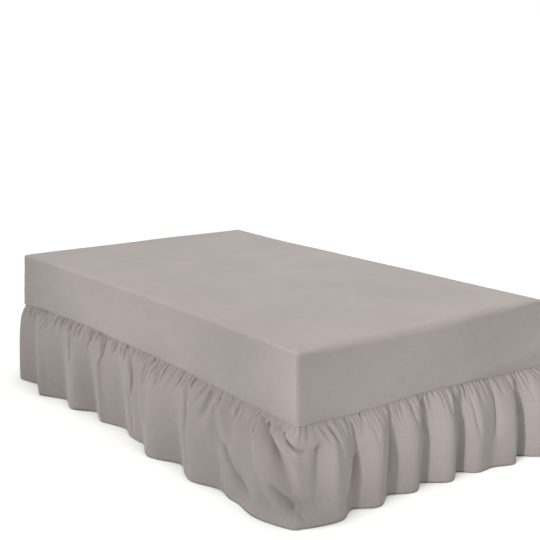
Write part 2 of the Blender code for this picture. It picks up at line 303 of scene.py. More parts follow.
# Faint pulls and creases on the drops. Levels run from 0 at the top edge to 1 at the seam, widths and
# heights are in metres, and a height below 0 is a crease.
DROP_CREASES = (  # from_along, to_along, from_level, to_level, width, height
    (0.03, 0.34, 0.06, 0.80, 0.014, 0.0016),
    (0.05, 0.26, 0.10, 0.82, 0.011, -0.0014),
    (0.10, 0.46, 0.08, 0.86, 0.013, -0.0014),
    (0.14, 0.56, 0.10, 0.90, 0.016, 0.0015),
    (0.04, 0.16, 0.16, 0.88, 0.012, 0.0014),
    (0.60, 0.80, 0.42, 0.78, 0.010, -0.0012),
    (0.57, 0.76, 0.42, 0.72, 0.010, 0.0010),
    (0.86, 1.22, 0.50, 0.80, 0.014, -0.0010),
    (1.12, 1.44, 0.42, 0.66, 0.012, -0.0009),
    (1.50, 1.92, 0.55, 0.72, 0.016, -0.0009),
    (1.93, 1.90, 0.30, 0.95, 0.012, 0.0012),
    (1.875, 1.86, 0.40, 0.98, 0.012, -0.0010),
    (2.42, 2.62, 0.38, 0.30, 0.012, 0.0012),
    (2.36, 2.60, 0.52, 0.46, 0.014, -0.0012),
    (2.40, 2.72, 0.62, 0.50, 0.014, 0.0010),
    (2.90, 3.22, 0.95, 0.66, 0.030, 0.0040),
    (3.27, 3.60, 0.20, 0.85, 0.014, -0.0012),
    (3.90, 4.25, 0.60, 0.45, 0.016, -0.0012),
    (4.60, 4.85, 0.35, 0.62, 0.014, 0.0012),
    (4.95, 5.18, 0.75, 0.25, 0.014, -0.0014),
    (5.28, 5.55, 0.20, 0.80, 0.014, -0.0014),
    (5.70, 6.05, 0.55, 0.48, 0.016, 0.0012),
    (6.15, 6.42, 0.80, 0.20, 0.014, -0.0014),
)
DROP_WAVES = (  # height, slant down the drop, seed, pitch
    (0.0010, 0.45, 3, 0.23),
    (0.0006, -0.30, 4, 0.11),
)
SEAM_PUCKER = 0.0007
SEAM_PUCKER_PITCH = 0.021
COVER_STEP = 0.0105
COVER_ROWS = 24
SHOULDER_STEPS = 7
SHOULDER_EXTRA = 0.040  # the ring where the top's square grid begins
DROP_DEPTH = 0.235  # top edge to seam, as most of the drops have it


def mesh_from(name, points, faces, uvs=None, caps=()):
    """Smooth mesh from points and faces, with a UV map in metres where one is given."""
    mesh = bpy.data.meshes.new(name)
    mesh.from_pydata(points.tolist(), [], faces.tolist() + list(caps))
    if uvs is not None:
        layer = mesh.uv_layers.new(name="cloth")
        corner_points = np.zeros(len(mesh.loops), dtype=np.int32)
        mesh.loops.foreach_get("vertex_index", corner_points)
        layer.data.foreach_set("uv", uvs[corner_points].astype(np.float32).ravel())
    mesh.update()
    mesh.shade_smooth()
    return mesh


def grid_faces(rows, columns, closed=False, first=0):
    """Faces of a grid of points given row by row. A closed grid joins its last column to its first."""
    across = np.arange(columns if closed else columns - 1)
    row, column = np.meshgrid(np.arange(rows - 1), across, indexing="ij")
    right = (column + 1) % columns
    below = row * columns + column
    below_right = row * columns + right
    faces = np.stack([below, below_right, below_right + columns, below + columns], axis=-1)
    return faces.reshape(-1, 4) + first


def join_grids(mesh):
    """Joins the points that two grids of a mesh share."""
    joined = bmesh.new()
    joined.from_mesh(mesh)
    bmesh.ops.remove_doubles(joined, verts=joined.verts, dist=1e-5)
    bmesh.ops.dissolve_degenerate(joined, edges=joined.edges, dist=1e-5)
    joined.to_mesh(mesh)
    joined.free()
    mesh.shade_smooth()


def drop_relief(along, level):
    """How far the cloth of the drops stands out or sinks in, in metres."""
    relief = np.zeros(np.broadcast(along, level).shape)
    for from_along, to_along, from_level, to_level, width, height in DROP_CREASES:
        share = np.clip((level - from_level) / (to_level - from_level), 0.0, 1.0)
        lean = (to_along - from_along) / (abs(to_level - from_level) * DROP_DEPTH)
        middle = from_along + (to_along - from_along) * share
        low, high = min(from_level, to_level), max(from_level, to_level)
        shown = ease((level - low + 0.10) / 0.20) * ease((high + 0.10 - level) / 0.20)
        across = (along - middle) / (width * math.hypot(1.0, lean))
        relief += height * shown * np.exp(-(across**2))
    slow = 0.0
    for height, slant, seed, pitch in DROP_WAVES:
        slow = slow + height * wander(along + slant * level, seed, pitch)
    near_seam = SEAM_PUCKER * wander(along, 5, SEAM_PUCKER_PITCH) * ease((level - 0.90) / 0.10)
    return relief + slow * ease(level * 2.5) + near_seam


def outline_places(step):
    """Stations around the closed edge: even on the straight runs, with a few around each corner."""
    places = []
    start = 0.0
    for run in (LENGTH, WIDTH, LENGTH, WIDTH):
        count = int(round(run / step))
        straight = run - 2.0 * CORNER_RADIUS
        places += [start + CORNER_RADIUS + straight * i / count for i in range(count + 1)]
        places += [start + run + CORNER_RADIUS * (2.0 * i / 6.0 - 1.0) for i in range(1, 6)]
        start += run
    return np.array(places)


SEAM_RIDGE = 0.0014  # the sewn corner's two layers stand out this far
SEAM_SPREAD = 0.0022
SEAM_RIDGE_AT = 0.006  # before the corner
SEAM_GROOVE = 0.0010
GROOVE_SPREAD = 0.0018
GROOVE_AT = 0.0025  # before the corner


def corner_ridge(along):
    """Height of the sewn corners: a ridge where the seam is pressed to one side, and a groove by it."""
    ridge = np.zeros_like(along)
    for _, _, corner in CORNERS:
        past = past_corner(along, corner)
        ridge += SEAM_RIDGE * np.exp(-(((past + SEAM_RIDGE_AT) / SEAM_SPREAD) ** 2))
        ridge -= SEAM_GROOVE * np.exp(-(((past + GROOVE_AT) / GROOVE_SPREAD) ** 2))
    return ridge


def top_height(x, y):
    """Height of the cloth on top: the four edges' heights carried inwards, and a slight crown."""
    across = np.clip((x + WIDTH / 2.0) / WIDTH, 0.0, 1.0)
    up = np.clip((y + LENGTH / 2.0) / LENGTH, 0.0, 1.0)
    left = from_table(EDGE, (1.0 - up) * LENGTH, 1)
    foot = from_table(EDGE, LEFT_END + across * WIDTH, 1)
    right = from_table(EDGE, FOOT_END + up * LENGTH, 1)
    head = from_table(EDGE, RIGHT_END + (1.0 - across) * WIDTH, 1)
    corner = [from_table(EDGE, np.array([v]), 1)[0] for v in (ROUND, LEFT_END, FOOT_END, RIGHT_END)]
    edges = left * (1.0 - across) + right * across + foot * (1.0 - up) + head * up
    edges -= (
        corner[1] * (1.0 - across) * (1.0 - up)
        + corner[2] * across * (1.0 - up)
        + corner[3] * across * up
        + corner[0] * (1.0 - across) * up
    )
    crown = (1.0 - np.abs(2.0 * across - 1.0) ** 3) * (1.0 - np.abs(2.0 * up - 1.0) ** 5)
    return HEIGHT + edges + CROWN * crown


def crossed_waves(table, x, y):
    """Slow waves in cloth. Each is the product of two that run different ways over it."""
    total = 0.0
    for height, first, second in table:
        for across, on, seed, pitch in (first, second):
            height = height * wander(across * x + on * y, seed, pitch)
        total = total + height
    return total


TOP_WAVES = (  # height, then across, up, seed and pitch of the two
    (0.0011, (1.0, 0.35, 11, 0.31), (-0.20, 1.0, 12, 0.43)),
    (0.0006, (0.8, -0.6, 13, 0.13), (0.5, 0.9, 14, 0.19)),
)


def face_grid(step, inset):
    """Square grid over a face of the bed, inset from its outline: the x and y of its points."""
    lines = []
    for run in (LENGTH, WIDTH):
        count = int(round(run / step))
        lines.append(np.linspace(-1.0, 1.0, count + 1) * (run / 2.0 - inset))
    y, x = np.meshgrid(*lines, indexing="ij")
    return x, y


def inside_face(x, y, inset, over):
    """Share that climbs from 0 at the border of a face's grid to 1 further in."""
    share = ease((WIDTH / 2.0 - inset - np.abs(x)) / over)
    return share * ease((LENGTH / 2.0 - inset - np.abs(y)) / over)


FACE_MAP = 9.0  # a face lies this far off in the UV map, clear of the drops
WAVE_FADE = 0.06  # the waves on top fade out over this length towards its edges


def face_uv(x, y):
    """UV map of a face's grid, in metres."""
    return np.stack([x + FACE_MAP, y + FACE_MAP], axis=-1).reshape(-1, 2)


def grid_points(x, y, z):
    """Points of a grid, row by row."""
    return np.stack([x, y, z], axis=-1).reshape(-1, 3)


TO_BED = np.array([0.0, BED_Y, 0.0])
places = outline_places(COVER_STEP)
stations = len(places)
rings = []
ring_uv = []
edge_radius = from_table(EDGE, places, 2)
edge_high = HEIGHT + from_table(EDGE, places, 1)


def add_ring(flat_points, height, run):
    """One more row of points around the cover, with its way down the cloth for the UV map."""
    rings.append(np.column_stack([flat_points, height]))
    ring_uv.append(np.column_stack([places, run]))


for row in range(COVER_ROWS):
    level = 1.0 - row / COVER_ROWS
    flat_points, way = ring_points(places, -level * from_table(LOWER_EDGE, places, 2))
    sewn_in = ease((1.02 - level) * 8.0 + 0.4)
    stand = drop_relief(places, np.full(stations, level)) + corner_ridge(places) * sewn_in
    low = from_table(LOWER_EDGE, places, 1)
    z = (edge_high - edge_radius) + (low - (edge_high - edge_radius)) * level
    add_ring(flat_points + way * stand[:, None], z, z)
for turn_step in range(SHOULDER_STEPS + 1):
    turn = math.pi / 2.0 * turn_step / SHOULDER_STEPS
    flat_points, way = ring_points(places, edge_radius * (1.0 - math.cos(turn)))
    stand = corner_ridge(places) * math.cos(turn)
    z = edge_high - edge_radius * (1.0 - math.sin(turn))
    add_ring(flat_points + way * stand[:, None], z, z)
flat_points, way = ring_points(places, SHOULDER_EXTRA)
top_edge_z = top_height(flat_points[:, 0], flat_points[:, 1])
add_ring(flat_points, top_edge_z, top_edge_z + SHOULDER_EXTRA)
side_faces = grid_faces(len(rings), stations, closed=True)

x, y = face_grid(COVER_STEP, SHOULDER_EXTRA)
z = top_height(x, y) + inside_face(x, y, SHOULDER_EXTRA, WAVE_FADE) * crossed_waves(TOP_WAVES, x, y)
top_faces = grid_faces(*x.shape, first=len(rings) * stations)
cover_points = np.concatenate([*rings, grid_points(x, y, z)]) + TO_BED
cover_uv = np.concatenate([*ring_uv, face_uv(x, y)])
cover_mesh = mesh_from("fitted_cover", cover_points, np.concatenate([side_faces, top_faces]), cover_uv)
join_grids(cover_mesh)


def tinted(colour, share):
    """A colour made darker or lighter."""
    return tuple(share * part for part in colour)


def shades(tree, source, low, high, dark, light):
    """Colours from dark to light, as the source climbs from low to high."""
    made = add_node(tree, "ShaderNodeValToRGB", Fac=source)
    for end, spot, colour in zip(made.color_ramp.elements, (low, high), (dark, light)):
        end.position = spot
        end.color = (*colour, 1.0)
    return made.outputs["Color"]


def sum_of(tree, first, second):
    """Two patterns added up."""
    made = add_node(tree, "ShaderNodeMath", {"operation": "ADD"})
    tree.links.new(first, made.inputs[0])
    tree.links.new(second, made.inputs[1])
    return made.outputs["Value"]


def bump(tree, height, strength, distance, **under):
    """Surface raised by a pattern, over another bump where one is given."""
    made = add_node(tree, "ShaderNodeBump", Height=height, Strength=strength, Distance=distance, **under)
    return made.outputs["Normal"]


def cloth_material(name, colour, weave_depth):
    """Plain cloth: a fine even weave, slight slubs and a soft unevenness in the dye."""
    material, tree, shader = new_material(
        name,
        Roughness=0.82,
        Specular_IOR_Level=0.25,
        Sheen_Weight=0.10,
        Sheen_Roughness=0.45,
        Sheen_Tint=(1.0, 0.96, 0.94, 1.0),
    )
    place = add_node(tree, "ShaderNodeUVMap", {"uv_map": "cloth"}).outputs["UV"]

    def noise(scale_across, scale_down, detail, roughness=0.5):
        mapping = add_node(tree, "ShaderNodeMapping", Vector=place, Scale=(scale_across, scale_down, 1.0))
        texture = add_node(
            tree,
            "ShaderNodeTexNoise",
            {"noise_dimensions": "2D"},
            Vector=mapping.outputs["Vector"],
            Scale=1.0,
            Detail=detail,
            Roughness=roughness,
        )
        return texture.outputs["Fac"]

    def multiplied(first, second, share):
        mix = add_node(tree, "ShaderNodeMix", {"data_type": "RGBA", "blend_type": "MULTIPLY"})
        mix.inputs[0].default_value = share
        tree.links.new(first, mix.inputs[6])
        tree.links.new(second, mix.inputs[7])
        return mix.outputs[2]

    dye = shades(tree, noise(3.2, 3.2, 3.0), 0.30, 0.70, tinted(colour, 0.965), tinted(colour, 1.035))
    slub, plain = (0.915, 0.915, 0.915), (1.0, 1.0, 1.0)
    across_slubs = shades(tree, noise(18.0, 430.0, 3.0), 0.30, 0.75, slub, plain)
    down_slubs = shades(tree, noise(430.0, 18.0, 3.0), 0.30, 0.75, slub, plain)
    coloured = multiplied(multiplied(dye, across_slubs, 0.8), down_slubs, 0.8)
    tree.links.new(coloured, shader.inputs["Base Color"])
    threads = sum_of(tree, noise(60.0, 1400.0, 1.0), noise(1400.0, 60.0, 1.0))
    weave = bump(tree, threads, 0.35, weave_depth)
    crumpled = bump(tree, noise(38.0, 30.0, 3.0, 0.55), 0.30, 0.0020, Normal=weave)
    tree.links.new(crumpled, shader.inputs["Normal"])
    return material


PERCALE = (0.355, 0.316, 0.308)
percale = cloth_material("taupe_percale", PERCALE, 0.0004)
# The frill's copy of the same percale is 13% darker: painted shade, for light the hanging frill gets less of.
percale_painted_shade = cloth_material("percale_painted_shade", tinted(PERCALE, 0.87), 0.0004)


def baked(loose, name):
    """Plain mesh of an object with its modifiers, in place of the object."""
    graph = bpy.context.evaluated_depsgraph_get()
    plain = bpy.data.meshes.new_from_object(loose.evaluated_get(graph), depsgraph=graph)
    plain.name = name
    bpy.data.objects.remove(loose)
    return plain


def sheet_piece(name, mesh, thickness, material):
    """Closed thin sheet: the outer face given its thickness inwards, with crisp cut edges."""
    mesh.materials.append(material)
    loose = add_object(name + "_face", mesh)
    solid = loose.modifiers.new("thickness", "SOLIDIFY")
    solid.thickness = thickness
    solid.offset = -1.0
    solid.use_even_offset = False
    closed = baked(loose, name)
    closed.set_sharp_from_angle(angle=math.radians(60.0))
    return add_object(name, closed)


cover = sheet_piece("cover", cover_mesh, COVER_THICK, percale)
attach(cover, "root")
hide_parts("fitted_cover")

# ---------------------------------------------------------------------------------------------------
# Frill: one long strip of the same percale, gathered on a thread and sewn under the cover's lower edge
# on three sides. It falls in pinched gathers that open into uneven folds, down to a narrow sewn hem.
FRILL_THICK = 0.0007
HEM_HEIGHT = 0.0045
PUFF = 0.010  # how far the gathers stand out just under the seam
PUFF_END = 0.08  # they stand out fully at this share of the drop
TURN = 0.130  # the frill swings round a corner over this length on both sides of it
SEAM_TUCK = 0.008  # the frill's top edge lies this far up behind the cover
FOLDS = (  # along, how far the hem stands out from the seam
    (0.000, 0.040),
    (0.040, 0.050),
    (0.165, 0.024),
    (0.300, 0.082),
    (0.435, 0.024),
    (0.550, 0.066),
    (0.655, 0.001),
    (0.765, 0.038),
    (0.905, 0.006),
    (1.010, 0.041),
    (1.085, 0.036),
    (1.215, 0.093),
    (1.360, 0.036),
    (1.500, 0.096),
    (1.640, 0.055),
    (1.735, 0.076),
    (1.770, 0.076),
    (1.870, 0.100),
    (2.010, 0.076),
    (2.112, 0.093),
    (2.205, 0.046),
    (2.290, 0.089),
    (2.380, 0.036),
    (2.475, 0.077),
    (2.546, 0.032),
    (2.645, 0.091),
    (2.722, 0.040),
    (2.795, 0.097),
    (2.865, 0.092),
    (2.950, 0.121),
    (3.016, 0.070),
    (3.110, 0.133),
    (3.250, 0.088),
    (3.330, 0.094),
    (3.450, 0.046),
    (3.590, 0.090),
    (3.730, 0.030),
    (3.860, 0.078),
    (3.980, 0.016),
    (4.110, 0.070),
    (4.220, 0.024),
    (4.360, 0.088),
    (4.500, 0.020),
    (4.620, 0.064),
    (4.740, 0.010),
    (4.860, 0.078),
    (4.990, 0.026),
    (5.110, 0.072),
    (5.230, 0.044),
)
# Folds placed one by one. Each runs from the first point by the second to the third, along the edge and
# down the frill, where drop is a share of the frill's own drop. A height below 0 is a crease. The broad
# ones that narrow downwards are the hollows between two gathers.
CREASES = (  # from_along, by_along, to_along, from_drop, by_drop, to_drop, from_width, to_width, height
    (0.212, 0.252, 0.287, 0.00, 0.067, 0.14, 0.022, 0.005, -0.0153),
    (0.380, 0.392, 0.395, 0.00, 0.075, 0.15, 0.016, 0.004, -0.0119),
    (0.460, 0.496, 0.525, 0.01, 0.210, 0.40, 0.018, 0.005, -0.0136),
    (0.661, 0.648, 0.619, 0.00, 0.100, 0.20, 0.004, 0.005, -0.0119),
    (0.720, 0.751, 0.757, 0.00, 0.115, 0.235, 0.028, 0.007, -0.0170),
    (0.861, 0.848, 0.826, 0.02, 0.083, 0.17, 0.004, 0.005, -0.0051),
    (0.930, 0.987, 1.010, 0.01, 0.200, 0.45, 0.016, 0.007, -0.0136),
    (1.130, 1.178, 1.211, 0.01, 0.090, 0.18, 0.022, 0.006, -0.0153),
    (1.347, 1.393, 1.421, 0.02, 0.130, 0.24, 0.024, 0.006, -0.0153),
    (1.320, 1.338, 1.319, 0.02, 0.090, 0.18, 0.004, 0.005, -0.0068),
    (1.531, 1.540, 1.529, 0.02, 0.167, 0.306, 0.011, 0.020, -0.0150),
    (1.568, 1.588, 1.629, 0.14, 0.315, 0.48, 0.010, 0.020, -0.0120),
    (1.601, 1.654, 1.702, 0.02, 0.210, 0.41, 0.030, 0.018, -0.0160),
    (1.647, 1.668, 1.701, 0.01, 0.050, 0.08, 0.008, 0.004, -0.0088),
    (1.781, 1.814, 1.839, 0.01, 0.070, 0.17, 0.004, 0.005, -0.0155),
    (1.812, 1.856, 1.893, 0.02, 0.115, 0.21, 0.005, 0.009, -0.0186),
    (1.660, 1.761, 1.846, 0.45, 0.765, 0.93, 0.016, 0.022, -0.0195),
    (1.742, 1.818, 1.932, 0.02, 0.420, 0.880, 0.086, 0.090, -0.0400),
    (1.815, 1.885, 1.945, 0.06, 0.400, 0.842, 0.022, 0.026, 0.0220),
    (1.868, 1.960, 2.006, 0.05, 0.425, 0.860, 0.013, 0.046, -0.0440),
    (1.890, 1.947, 1.998, 0.02, 0.140, 0.30, 0.009, 0.015, 0.0278),
    (1.912, 1.968, 2.010, 0.02, 0.120, 0.22, 0.006, 0.009, -0.0186),
    (1.931, 1.970, 2.014, 0.03, 0.100, 0.19, 0.007, 0.010, 0.0186),
    (1.930, 1.965, 1.991, 0.58, 0.743, 0.83, 0.004, 0.007, -0.0123),
    (1.950, 1.991, 2.021, 0.78, 0.843, 0.93, 0.003, 0.005, -0.0092),
    (1.958, 1.982, 1.999, 0.14, 0.203, 0.27, 0.003, 0.005, -0.0092),
    (1.989, 2.005, 2.018, 0.11, 0.148, 0.19, 0.003, 0.005, -0.0092),
    (2.066, 2.052, 2.060, 0.16, 0.500, 0.80, 0.012, 0.022, -0.0208),
    (2.109, 2.093, 2.088, 0.10, 0.460, 0.80, 0.015, 0.022, 0.0130),
    (2.075, 2.085, 2.100, 0.01, 0.060, 0.14, 0.004, 0.007, -0.0057),
    (2.112, 2.122, 2.135, 0.01, 0.120, 0.30, 0.005, 0.010, -0.0082),
    (2.212, 2.200, 2.165, 0.38, 0.620, 0.91, 0.010, 0.022, -0.0195),
    (2.224, 2.223, 2.216, 0.02, 0.200, 0.42, 0.004, 0.009, -0.0078),
    (2.305, 2.303, 2.300, 0.01, 0.120, 0.30, 0.005, 0.009, -0.0065),
    (2.335, 2.325, 2.318, 0.01, 0.060, 0.14, 0.004, 0.007, -0.0048),
    (2.398, 2.386, 2.370, 0.02, 0.300, 0.80, 0.007, 0.012, -0.0111),
    (2.500, 2.500, 2.503, 0.02, 0.110, 0.24, 0.006, 0.010, -0.0090),
    (2.585, 2.562, 2.556, 0.01, 0.150, 0.40, 0.006, 0.012, -0.0097),
    (2.665, 2.668, 2.672, 0.02, 0.120, 0.26, 0.005, 0.009, -0.0082),
    (2.694, 2.684, 2.680, 0.01, 0.080, 0.16, 0.004, 0.007, -0.0048),
    (2.718, 2.700, 2.694, 0.01, 0.180, 0.55, 0.006, 0.012, -0.0097),
    (2.800, 2.795, 2.792, 0.01, 0.150, 0.50, 0.005, 0.009, -0.0097),
    (2.858, 2.845, 2.840, 0.01, 0.100, 0.22, 0.005, 0.009, -0.0057),
    (2.918, 2.908, 2.885, 0.01, 0.220, 0.60, 0.007, 0.016, -0.0130),
    (2.998, 3.004, 3.008, 0.01, 0.060, 0.14, 0.004, 0.007, -0.0048),
    (3.060, 3.038, 3.026, 0.01, 0.140, 0.45, 0.006, 0.012, -0.0097),
    (3.092, 3.096, 3.100, 0.02, 0.120, 0.25, 0.005, 0.008, -0.0065),
    (1.435, 1.437, 1.474, 0.24, 0.480, 0.93, 0.010, 0.024, -0.0153),
    (0.967, 0.997, 1.003, 0.44, 0.650, 0.95, 0.010, 0.022, -0.0102),
    (1.078, 1.120, 1.165, 0.04, 0.250, 0.60, 0.014, 0.022, 0.0170),
    (0.742, 0.752, 0.773, 0.24, 0.500, 0.95, 0.014, 0.022, 0.0136),
    (0.205, 0.289, 0.296, 0.10, 0.450, 0.95, 0.014, 0.022, 0.0153),
    (3.330, 3.295, 3.260, 0.03, 0.450, 0.85, 0.014, 0.026, -0.0120),
    (3.420, 3.440, 3.450, 0.01, 0.100, 0.22, 0.018, 0.005, -0.0070),
    (3.560, 3.510, 3.460, 0.03, 0.350, 0.72, 0.016, 0.024, 0.0100),
    (3.700, 3.715, 3.722, 0.01, 0.130, 0.30, 0.022, 0.006, -0.0090),
    (4.020, 3.990, 3.960, 0.02, 0.300, 0.62, 0.014, 0.024, -0.0100),
    (4.240, 4.232, 4.228, 0.00, 0.080, 0.17, 0.020, 0.005, -0.0080),
    (4.470, 4.495, 4.520, 0.02, 0.320, 0.66, 0.014, 0.024, -0.0100),
    (4.700, 4.722, 4.735, 0.01, 0.110, 0.26, 0.024, 0.006, -0.0090),
    (4.900, 4.880, 4.860, 0.02, 0.300, 0.60, 0.014, 0.022, 0.0090),
    (5.050, 5.030, 5.010, 0.01, 0.120, 0.28, 0.018, 0.006, -0.0080),
)
STRIPS = (  # name, from_along, to_along: four lengths of the strip, which meet edge to edge
    ("frill_left", 0.018, 1.360),
    ("frill_corner", 1.360, 2.385),
    ("frill_foot", 2.385, 3.450),
    ("frill_right", 3.450, 5.212),
)
COLUMN_STEP = 0.0028
MARGIN = 3  # columns worked out past a strip's ends, so that it meets the next one smoothly
USUAL_DROP = 0.345
HEM_LINE = 0.327  # the turned-up hem is sewn here, down from the seam
ROWS = (  # from, to, step
    (0.0, 0.030, 0.0026),
    (0.030, 0.130, 0.0045),
    (0.130, 0.318, 0.0075),
    (0.318, HEM_LINE, 0.0030),
    (HEM_LINE, USUAL_DROP, 0.0036),
)
CRISP = 0.28  # how much narrower the valleys are than the crests
LEAN = (  # along, how much further on a fold starts at the seam than it ends at the hem
    (0.00, -0.020),
    (0.30, -0.070),
    (1.20, -0.090),
    (1.75, -0.100),
    (1.93, -0.050),
    (2.00, 0.000),
    (2.08, 0.040),
    (2.30, 0.050),
    (2.70, 0.050),
    (3.05, 0.062),
    (3.23, 0.062),
    (3.60, 0.050),
    (4.50, 0.040),
    (5.23, 0.000),
)
HANG = (  # along, how quickly the strip flares out, how quickly its folds open, its belly half-way down
    (0.00, 3.2, 2.6, -0.002),
    (0.25, 3.2, 1.7, 0.004),
    (1.50, 3.4, 1.6, 0.006),
    (1.80, 4.0, 2.2, 0.009),
    (2.00, 4.2, 3.4, 0.011),
    (2.30, 3.8, 4.8, 0.008),
    (2.90, 3.2, 4.8, 0.002),
    (3.10, 3.0, 3.0, 0.002),
    (3.60, 3.0, 2.2, 0.002),
    (5.23, 3.0, 2.2, 0.002),
)
HEM_WAVES = (  # height, seed, pitch: the hem is slightly uneven
    (0.0020, 31, 0.37),
    (0.0010, 32, 0.11),
)
FLARE_CHANGE = 0.4  # how much more or less quickly the strip flares out from place to place
FOLD_ROUNDING = 0.009  # the hem bends softly over this length
FOLD_SPREAD = 0.110  # over this length the folds even out to the strip's flare
FOLD_OVERHANG = 0.003  # how far a fold's crest bulges over its flanks
PINCH_OVERHANG = 0.0012  # the same for a gather or a crease
SEAM_DRAW = 0.0022  # the thread draws the strip in this far at the seam


def turn_at(along):
    """Angle in which the frill stands out, eased around the foot's two corners."""
    angle = np.full_like(along, math.pi)
    for corner in (LEFT_END, FOOT_END):
        angle += math.pi / 2.0 * ease((along - corner + TURN) / (2.0 * TURN))
    return angle


def hem_reach():
    """How far the hem stands out at each millimetre: with its folds, and with its folds evened out."""
    along = np.arange(-0.05, RIGHT_END + 0.05, 0.001)
    first, second, share = between_rows(FOLDS, along, 1)
    share = np.clip(share, 0.0, 1.0)
    climb = np.where(second > first, share, 1.0 - share)
    climb = (1.0 - CRISP) * ease(climb) + CRISP * np.sin(climb * math.pi / 2.0)
    reach = np.minimum(first, second) + np.abs(second - first) * climb
    smoothed = []
    for rounding, steps in ((FOLD_ROUNDING, 25), (FOLD_SPREAD, 250)):
        spread = np.arange(-steps, steps + 1) * 0.001
        weight = np.exp(-((spread / rounding) ** 2))
        smoothed.append(np.convolve(np.pad(reach, steps, mode="edge"), weight / weight.sum(), mode="valid"))
    return along, smoothed[0], smoothed[1]


HEM_PLACES, HEM_REACH, HEM_BROAD = hem_reach()
VALLEYS = [
    row[0]
    for before, row, after in zip(FOLDS, FOLDS[1:], FOLDS[2:])
    if row[1] < before[1] and row[1] < after[1]
]
# The gathers that the thread makes: fine pinches, the tucks that take them in, and longer ones further
# apart that run down into the folds, leaning over towards the nearest valley of the hem. Each row gives
# where its gathers start, their pitch, the shortest and longest, the shallowest and deepest, the width at
# the seam, the narrowest and widest lower down, and how far they lean.
GATHERS = (
    (0.0, 0.0100, 0.010, 0.030, 0.0013, 0.0032, 0.0024, 0.0028, 0.0042, 0.00),
    (0.0, 0.0210, 0.030, 0.085, 0.0040, 0.0088, 0.0034, 0.0050, 0.0085, 0.05),
    (0.05, 0.0600, 0.045, 0.100, 0.0042, 0.0072, 0.0046, 0.0070, 0.0110, 0.15),
    (3.12, 0.0900, 0.080, 0.150, 0.0045, 0.0075, 0.0052, 0.0095, 0.0150, 0.20),
)
GATHER_SEED = 21
CRUMPLES = 260  # short soft creases where the cloth has been folded and handled
CRUMPLE_SEED = 5
FRILL_WAVES = (  # height, then along, down, seed and pitch of the two
    (0.0022, (1.0, 0.5, 33, 0.16), (0.25, 1.0, 34, 0.12)),
    (0.0010, (1.0, -0.7, 35, 0.055), (0.0, 1.0, 36, 0.09)),
)
HEM_THICK = 0.0005  # the turned-up cloth lifts the hem
HEM_GROOVE = 0.0008  # and its stitches draw it in


def gathers():
    """Every gather as (place, lean, length, depth, top_width, width)."""
    chance = random.Random(GATHER_SEED)
    made = []
    for start, pitch, short, long, shallow, deep, top_width, narrow, wide, pull in GATHERS:
        place = start + 0.010 + pitch * chance.random()
        while place < RIGHT_END - 0.010:
            length = chance.uniform(short, long)
            valley = min(VALLEYS, key=lambda spot: abs(spot - place))
            lean = pull * max(-0.05, min(0.05, valley - place)) + chance.gauss(0.0, 0.13) * length
            depth = chance.uniform(shallow, deep)
            top = top_width * chance.uniform(0.8, 1.3)
            made.append((place, lean, length, depth, top, chance.uniform(narrow, wide)))
            place += pitch * chance.uniform(0.55, 1.55)
    return made


def crumples():
    """Every crumple as (along, down, to_along, to_down, width, height)."""
    chance = random.Random(CRUMPLE_SEED)
    made = []
    for _ in range(CRUMPLES):
        along, down = chance.uniform(0.0, RIGHT_END), chance.uniform(0.03, 0.33)
        angle, length = chance.gauss(0.6, 0.5) * chance.choice((-1, 1)), chance.uniform(0.025, 0.08)
        to_along, to_down = along + length * math.sin(angle), down + length * math.cos(angle)
        made.append((along, down, to_along, to_down, chance.uniform(0.004, 0.009), chance.gauss(0.0, 0.0007)))
    return made


ALL_GATHERS = gathers()
ALL_CRUMPLES = crumples()


def frill_relief(along, level):
    """Gathers, placed creases and crumples over a grid of places and levels, in metres."""
    relief = np.zeros((len(level), len(along)))
    down = level * USUAL_DROP

    def reached(low, high, width):
        """Columns that a ridge or crease of this width reaches."""
        return slice(np.searchsorted(along, low - 3.0 * width), np.searchsorted(along, high + 3.0 * width))

    def press(middle, width, height, flat=1.7):
        """Adds one ridge or crease that runs down the frill, with its middle and width by row."""
        here = reached(middle.min(), middle.max(), width.max())
        across = (along[None, here] - middle[:, None]) / width[:, None]
        relief[:, here] += height[:, None] * np.exp(-(np.abs(across) ** flat))

    for place, lean, length, depth, top_width, low_width in ALL_GATHERS:
        share = np.clip(down / length, 0.0, 1.0)
        width = top_width + (low_width - top_width) * np.sqrt(share)
        shown = ease(down / 0.012) * (1.0 - ease((down - 0.40 * length) / (0.75 * length)))
        press(place + lean * share**1.3, width, -depth * shown)
    for row in CREASES:
        from_along, by_along, to_along, from_drop, by_drop, to_drop, from_width, to_width, height = row
        a, b, c = np.polyfit((from_drop, by_drop, to_drop), (from_along, by_along, to_along), 2)
        held = np.clip(level, from_drop, to_drop)
        lean = (2.0 * a * held + b) / USUAL_DROP
        share = (held - from_drop) / (to_drop - from_drop)
        width = (from_width + (to_width - from_width) * share) * np.sqrt(1.0 + lean**2)
        fade_in = max(0.10, 3.2 * from_width)
        shown = ease((level - from_drop + 0.02) / fade_in) * ease((to_drop + 0.14 - level) / 0.24)
        press((a * held + b) * held + c, width, height * shown, 2.6 if from_width > to_width else 1.7)
    for from_along, from_down, to_along, to_down, width, height in ALL_CRUMPLES:
        here = reached(min(from_along, to_along), max(from_along, to_along), width)
        step_along, step_down = to_along - from_along, to_down - from_down
        length = math.hypot(step_along, step_down)
        past_along, past_down = along[None, here] - from_along, down[:, None] - from_down
        on = (past_along * step_along + past_down * step_down) / length**2
        off = (past_along * step_down - past_down * step_along) / length
        shown = ease(on / 0.35) * ease((1.0 - on) / 0.35)
        relief[:, here] += height * shown * np.exp(-((off / width) ** 2))
    slow = crossed_waves(FRILL_WAVES, along[None], down[:, None])
    hem = HEM_THICK * ease((down - HEM_LINE) / 0.004)
    hem -= HEM_GROOVE * np.exp(-(((down - HEM_LINE) / 0.0025) ** 2))
    return relief + slow * ease(level / 0.2)[:, None] + hem[:, None]


